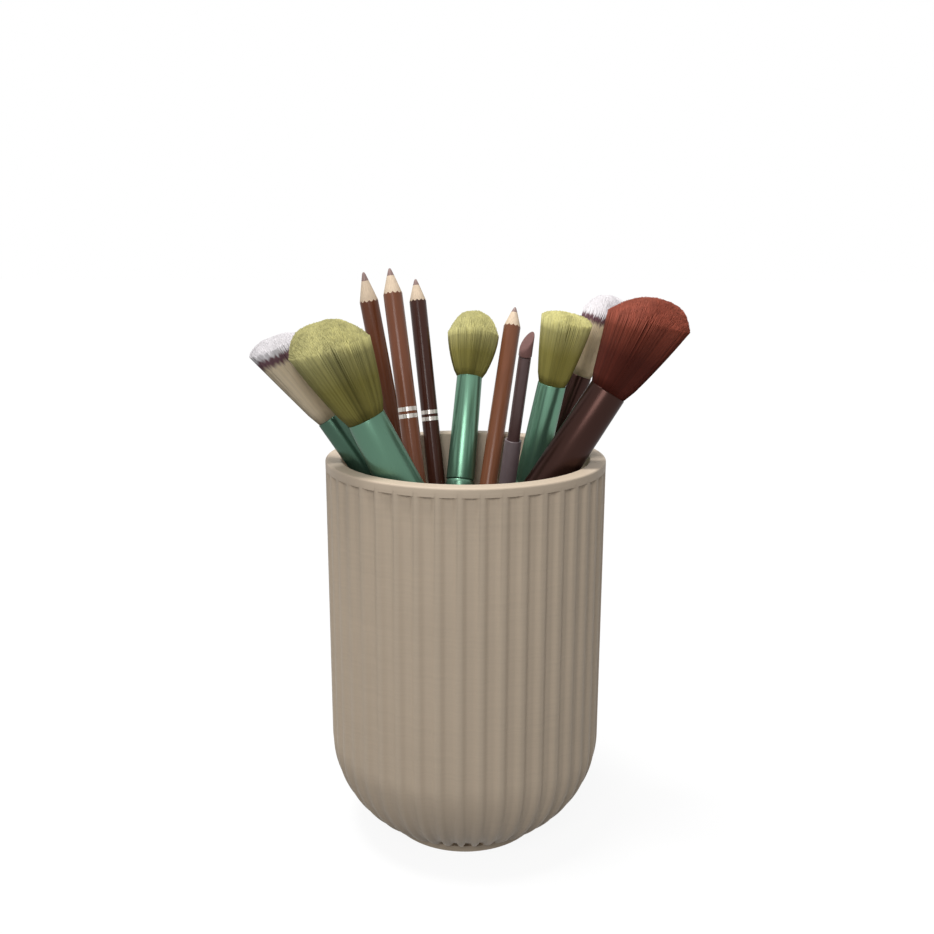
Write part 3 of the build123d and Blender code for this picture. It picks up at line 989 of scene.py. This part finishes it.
def hair_ring(brush, share, count, spacing):
    """A ring of hairs at a share of the head's radius, spread from the ferrule's mouth."""
    head = brush.head
    bm = bmesh.new()
    along = bm.verts.layers.float.new("along")
    bm.verts.layers.float.new("tone")
    one_hair(bm)
    mouth = brush.handle_length + brush.ferrule_length
    reach = head.length - head.crown * share**head.crown_power
    root = share * (brush.mouth_radius - FERRULE_WALL - HAIR_ROOT_GAP)
    tip = share * head.radius
    for vert in bm.verts:
        t = vert.co.z
        vert[along] = t
        packed = spacing * (brush.mouth_radius + (head.radius - brush.mouth_radius) * t) / head.radius
        size = HAIR_THICKNESS * packed * (1.0 if t < HAIR_TAPER_FROM else HAIR_TAPER)
        out = root + (tip - root) * t + share * head.bulge * 4 * t * (1 - t)
        out += share * FERRULE_WALL * min(1.0, (HAIR_CUTS + 1) * t) * (1 - t)
        vert.co = (out + vert.co.x * size, vert.co.y * size, mouth - HAIR_BITE + t * (reach + HAIR_BITE))
    if count > 1:
        bmesh.ops.spin(
            bm,
            geom=[*bm.verts, *bm.edges, *bm.faces],
            cent=(0, 0, 0),
            axis=(0, 0, 1),
            angle=FULL_TURN * (count - 1) / count,
            steps=count - 1,
            use_duplicate=True,
        )
    return bm


def loosen(bm, head, draw):
    """Gives each hair its own tone, made of the head's painted light with random patches and spread, its own
    length and lean, gathers them in furrows, and hangs the head.
    """
    along = bm.verts.layers.float["along"]
    tone = bm.verts.layers.float["tone"]
    bm.verts.ensure_lookup_table()
    for first in range(0, len(bm.verts), VERTS_PER_HAIR):
        hair = bm.verts[first : first + VERTS_PER_HAIR]
        tip = max(hair, key=lambda v: v[along]).co.copy()
        lean = Vector(draw.gauss(0, spread) for spread in (HAIR_LEAN, HAIR_LEAN, HAIR_UNEVEN))
        lean += noise.noise_vector(tip * CLUMP_SCALE) * CLUMP_LEAN
        furrow = FURROW_DEPTH * noise.noise(tip * FURROW_SCALE)
        patch = sum(noise.noise(tip * scale) for scale in TONE_SCALES)
        # The head's tone is painted light; the patches and the spread are random.
        level = head.tone + TONE_PATCH * patch + draw.gauss(0, TONE_SPREAD)
        shift = draw.gauss(0, BAND_SPREAD)
        for vert in hair:
            t = vert[along]
            spread = 1 + furrow * 4 * t * (1 - t)
            vert.co.x *= spread
            vert.co.y = vert.co.y * spread + head.sway * t * t
            vert.co.z += head.slant * t * tip.y / head.radius
            vert.co += lean * t * t
            vert[along] = t + shift
            vert[tone] = min(1.0, max(0.0, level))


def hair_head(brush, place, spacing, material, seed):
    """A full head of hair, ring by ring."""
    draw = random.Random(seed)
    noise.seed_set(seed)
    bm = bmesh.new()
    rings = round(brush.head.radius / spacing)
    for ring in range(rings + 1):
        row = hair_ring(brush, ring / rings, max(1, 6 * ring), brush.head.radius / rings)
        loosen(row, brush.head, draw)
        mesh = bpy.data.meshes.new("hair_row")
        row.to_mesh(mesh)
        row.free()
        bm.from_mesh(mesh)
        bpy.data.meshes.remove(mesh)
    bmesh.ops.transform(bm, matrix=place.to_metres, verts=bm.verts)
    return finish_mesh(bm, f"{brush.name}_hair", material, HAIR_SHARP)


def handle_profile(brush):
    """Round foot, slow swell to a waist, flare to a rounded upper edge, and the tenon inside the ferrule."""
    foot, rim = brush.foot_radius, brush.ferrule_radius
    waist = max(foot, WAIST_SHARE * rim)
    shoulder = brush.handle_length - FIT_GAP
    tenon = brush.mouth_radius - FERRULE_WALL - FIT_GAP
    profile = round_foot(foot)
    profile += [
        (foot + (waist - foot) * HANDLE_SWELL[0], shoulder * HANDLE_SWELL[1]),
        (waist, shoulder - WAIST_DROP),
    ]
    for share, left in HANDLE_FLARE:
        profile.append((waist + (rim - waist) * share, shoulder - WAIST_DROP * left))
    profile += [(rim - inset, shoulder - drop) for inset, drop in HANDLE_EDGE]
    return profile + [(tenon, shoulder), (tenon, shoulder + TENON_LENGTH), (0, shoulder + TENON_LENGTH)]


def ferrule_profile(brush):
    bore = brush.mouth_radius - FERRULE_WALL
    mouth = brush.handle_length + brush.ferrule_length
    return [
        (bore, brush.handle_length),
        (brush.ferrule_radius, brush.handle_length),
        (brush.mouth_radius, mouth),
        (bore, mouth),
        (bore, brush.handle_length),
    ]


class HOLDER_OT_brushes(bpy.types.Operator):
    """Brushes: lacquered handle, metal ferrule and a full head of hair"""

    bl_idname = "holder.brushes"
    bl_label = "Brushes"

    def execute(self, context):
        settings = context.scene.holder.brushes
        # The olive and red-brown ramps darken towards the roots as painted shade; the cream ramp is the
        # hair's own two tones.
        stops = {
            "olive": [(0.5, settings.olive_root_painted_shade), (0.95, settings.olive_tip)],
            "red": [(0.5, settings.red_root_painted_shade), (0.95, settings.red_tip)],
            "cream": [
                (0.79, settings.cream),
                (0.85, settings.band),
                (0.9, settings.band),
                (0.93, settings.white_tip),
            ],
        }
        hairs = {
            name: soft_hair(f"{name}_hair", points, 0.15 if name == "cream" else 0.4)
            for name, points in stops.items()
        }
        for seed, brush in enumerate(BRUSHES, 1):
            place = stand_place(brush.stand, brush.ferrule_radius, brush.foot_radius)
            # The shade scales the metal colour, painting light and shade into this brush's handle and
            # ferrule.
            metal = rgba(getattr(settings, brush.metal), brush.shade)[:3]
            gloss = lacquer(f"{brush.name}_lacquer", metal, place)
            handle = turned_piece(f"{brush.name}_grip", place, handle_profile(brush), gloss)
            stand_for(handle, brush.name, f"{brush.metal}_lacquer", f"{brush.name}_handle")
            satin = anodised(f"{brush.name}_anodised", metal, place)
            ferrule = turned_piece(f"{brush.name}_tube", place, ferrule_profile(brush), satin, FERRULE_EDGE)
            stand_for(ferrule, brush.name, f"{brush.metal}_metal", f"{brush.name}_ferrule")
            head = hair_head(brush, place, settings.hair_spacing / MM, hairs[brush.hair], seed)
            stand_for(head, brush.name, f"{brush.hair}_hair", f"{brush.name}_bristles")
        return {"FINISHED"}


# Pencils and smudger


class HOLDER_OT_pencils(bpy.types.Operator):
    """Sharpened wooden pencils with their leads"""

    bl_idname = "holder.pencils"
    bl_label = "Pencils"

    def execute(self, context):
        settings = context.scene.holder.pencils
        for pencil in PENCILS:
            place = stand_place(pencil.stand, pencil.radius, pencil.radius)
            slope = pencil.cone_length / (pencil.radius - LEAD_BLUNT)
            bore = pencil.lead_radius + FIT_GAP
            cone = [
                (radius, pencil.barrel_length + slope * (pencil.radius - radius))
                for radius in (pencil.radius, 0.5 * (pencil.radius + bore), bore)
            ]
            casing = turned_piece(
                f"{pencil.name}_wood",
                place,
                round_foot(pencil.radius) + cone + [(bore, LEAD_START), (0, LEAD_START)],
                pencil_casing_finish(pencil, settings, place),
            )
            stand_for(casing, pencil.name, f"{pencil.paint}_paint", f"{pencil.name}_casing")
            tip = pencil.barrel_length + pencil.cone_length
            bared = pencil.barrel_length + slope * (pencil.radius - pencil.lead_radius)
            core = turned_piece(
                f"{pencil.name}_core",
                place,
                [
                    (0, LEAD_START + FIT_GAP),
                    (pencil.lead_radius, LEAD_START + FIT_GAP),
                    (pencil.lead_radius, bared),
                    *((radius, tip - below) for radius, below in LEAD_TIP),
                    (0, tip),
                ],
                waxy(f"{pencil.name}_wax", settings.lead, place),
            )
            stand_for(core, pencil.name, "pencil_lead", f"{pencil.name}_lead")
        return {"FINISHED"}


class HOLDER_OT_smudger(bpy.types.Operator):
    """Smudger: sleeve, stem and a slanted sponge"""

    bl_idname = "holder.smudger"
    bl_label = "Smudger"

    def execute(self, context):
        settings = context.scene.holder.smudger
        place = stand_place(SMUDGER_STAND, SLEEVE_RADIUS, SLEEVE_RADIUS)
        bore = STEM_RADIUS + FIT_GAP
        sleeve = turned_piece(
            "smudger_barrel",
            place,
            round_foot(SLEEVE_RADIUS)
            + [
                (SLEEVE_RADIUS, SLEEVE_LENGTH),
                (bore, SLEEVE_LENGTH),
                (bore, SLEEVE_LENGTH - STEM_TENON),
                (0, SLEEVE_LENGTH - STEM_TENON),
            ],
            satin_plastic("sleeve_plastic", settings.sleeve, place),
            SLEEVE_EDGE,
        )
        stand_for(sleeve, "smudger", "sleeve_plastic", "smudger_sleeve")
        stem = turned_piece(
            "smudger_rod",
            place,
            [
                (0, SLEEVE_LENGTH - STEM_TENON + FIT_GAP),
                (STEM_RADIUS, SLEEVE_LENGTH - STEM_TENON + FIT_GAP),
                (STEM_RADIUS, STEM_END),
                (PIN_RADIUS, STEM_END),
                (PIN_RADIUS, STEM_END + PIN_LENGTH),
                (0, STEM_END + PIN_LENGTH),
            ],
            satin_plastic("stem_plastic", settings.stem, place),
            STEM_EDGE,
        )
        stand_for(stem, "smudger", "stem_plastic", "smudger_stem")
        pin_hole, pin_end = PIN_RADIUS + FIT_GAP, STEM_END + PIN_LENGTH + 2 * FIT_GAP
        spare = 1.0  # left on for the slanted cut
        bm = bmesh.new()
        spin_profile(
            bm,
            [
                (0, pin_end),
                (pin_hole, pin_end),
                (pin_hole, STEM_END + FIT_GAP),
                (SPONGE_RADIUS, STEM_END + FIT_GAP),
                (SPONGE_RADIUS, STEM_END + SPONGE_LENGTH + spare),
                (0, STEM_END + SPONGE_LENGTH + spare),
            ],
            40,
        )
        rise = SPONGE_LENGTH - SPONGE_SHORT_SIDE
        bmesh.ops.bisect_plane(
            bm,
            geom=list(bm.verts) + list(bm.edges) + list(bm.faces),
            plane_co=(SPONGE_RADIUS, 0, STEM_END + SPONGE_SHORT_SIDE),
            plane_no=(rise, 0, 2 * SPONGE_RADIUS),
            clear_outer=True,
        )
        bmesh.ops.holes_fill(bm, edges=[e for e in bm.edges if e.is_boundary], sides=0)
        bmesh.ops.recalc_face_normals(bm, faces=bm.faces)
        soften(bm, SPONGE_ROUND, 25.0, 4)
        bmesh.ops.transform(bm, matrix=place.to_metres, verts=bm.verts)
        sponge = finish_mesh(bm, "smudger_tip", foam("sponge_foam", settings.sponge, place))
        stand_for(sponge, "smudger", "sponge", "smudger_sponge")
        return {"FINISHED"}


# Stage


def hang_lamp(name, lamp, place, way):
    """Puts a lamp in the scene so that it shines back along the way that leads to it."""
    holder = bpy.data.objects.new(name, lamp)
    holder.location = place
    holder.rotation_euler = Vector(way).to_track_quat("Z", "Y").to_euler()
    bpy.context.scene.collection.objects.link(holder)


def wide_light(name, way, strength, spread):
    """A soft light from far off, the same all over the floor."""
    lamp = bpy.data.lights.new(name, "SUN")
    lamp.energy = strength
    lamp.angle = math.radians(spread)
    hang_lamp(name, lamp, (0, 0, 1), way)


def panel_light(name, place, aim, size, power):
    """A soft square light that faces a point."""
    lamp = bpy.data.lights.new(name, "AREA")
    lamp.size = size
    lamp.energy = power
    hang_lamp(name, lamp, place, Vector(place) - Vector(aim))


def seen_directly(tree):
    """1 on the rays that show a thing, straight or in metal or glass, and 0 on those that light others."""
    rays = add(tree, "ShaderNodeLightPath")
    seen = rays.outputs["Is Camera Ray"]
    for kind in ("Is Glossy Ray", "Is Transmission Ray"):
        either = add(tree, "ShaderNodeMath", {0: seen, 1: rays.outputs[kind]}, operation="MAXIMUM")
        seen = either.outputs["Value"]
    return seen


class HOLDER_OT_stage(bpy.types.Operator):
    """Pale floor, soft light and the camera"""

    bl_idname = "holder.stage"
    bl_label = "Stage"

    def execute(self, context):
        settings = context.scene.holder.stage
        scene = context.scene
        bm = bmesh.new()
        bmesh.ops.create_grid(bm, x_segments=1, y_segments=1, size=FLOOR_HALF)
        material, tree, shader = start("pale_floor")
        raised = add(
            tree, "ShaderNodeMath", {0: seen_directly(tree), 1: settings.backdrop}, operation="MULTIPLY"
        )
        feed(
            shader,
            {
                "Base Color": rgba(settings.floor),
                "Roughness": 1.0,
                "Specular IOR Level": 0.0,
                "Emission Color": (1.0, 1.0, 1.0, 1.0),
                "Emission Strength": raised.outputs["Value"],
            },
        )
        floor = finish_mesh(bm, "floor", material)

        world = bpy.data.worlds.new("studio")
        world.use_nodes = True
        scene.world = world
        sky = world.node_tree.nodes["Background"]
        level = add(
            world.node_tree,
            "ShaderNodeMapRange",
            {"Value": seen_directly(world.node_tree), "To Min": settings.ambient, "To Max": 1.0},
        )
        feed(sky, {"Color": (1.0, 1.0, 1.0, 1.0), "Strength": level.outputs["Result"]})
        wide_light("key", KEY_WAY, settings.key_strength, KEY_SPREAD)
        panel_light("fill", FILL_PLACE, FILL_AIM, FILL_SIZE, settings.fill_power)

        camera = bpy.data.cameras.new("camera")
        camera.lens = settings.lens
        camera.sensor_width = SENSOR_WIDTH
        camera.clip_start = 0.01
        eye = bpy.data.objects.new("camera", camera)
        eye.location = EYE
        tilt = Matrix.Rotation(math.radians(90 - EYE_DROP), 3, "X")
        roll = Matrix.Rotation(math.radians(EYE_ROLL), 3, "Z")
        eye.rotation_euler = (tilt @ roll).to_euler()
        scene.collection.objects.link(eye)
        scene.camera = eye
        scene.view_settings.view_transform = "Standard"
        return {"FINISHED"}


STEPS = (
    HOLDER_OT_cup,
    HOLDER_OT_drawer,
    HOLDER_OT_brushes,
    HOLDER_OT_pencils,
    HOLDER_OT_smudger,
    HOLDER_OT_stage,
)


class HOLDER_PT_panel(bpy.types.Panel):
    """The steps and settings of the brush holder"""

    bl_idname = "HOLDER_PT_panel"
    bl_label = "Brush holder"
    bl_space_type = "VIEW_3D"
    bl_region_type = "UI"
    bl_category = "Brush Holder"

    def draw(self, context):
        settings = context.scene.holder
        for step in STEPS:
            self.layout.operator(step.bl_idname)
        for group in (settings.cup, settings.brushes, settings.pencils, settings.smudger, settings.stage):
            box = self.layout.box()
            for name in group.bl_rna.properties.keys():
                if name not in {"rna_type", "name"}:
                    box.prop(group, name)


CLASSES = (
    CupSettings,
    BrushSettings,
    PencilSettings,
    SmudgerSettings,
    StageSettings,
    HolderSettings,
    *STEPS,
    HOLDER_PT_panel,
)


def register():
    for cls in CLASSES:
        bpy.utils.register_class(cls)
    bpy.types.Scene.holder = bpy.props.PointerProperty(type=HolderSettings)


def unregister():
    del bpy.types.Scene.holder
    for cls in reversed(CLASSES):
        bpy.utils.unregister_class(cls)


def main():
    register()
    bpy.ops.holder.cup()
    bpy.ops.holder.drawer()
    bpy.ops.holder.brushes()
    bpy.ops.holder.pencils()
    bpy.ops.holder.smudger()
    bpy.ops.holder.stage()


if __name__ == "__main__":
    main()
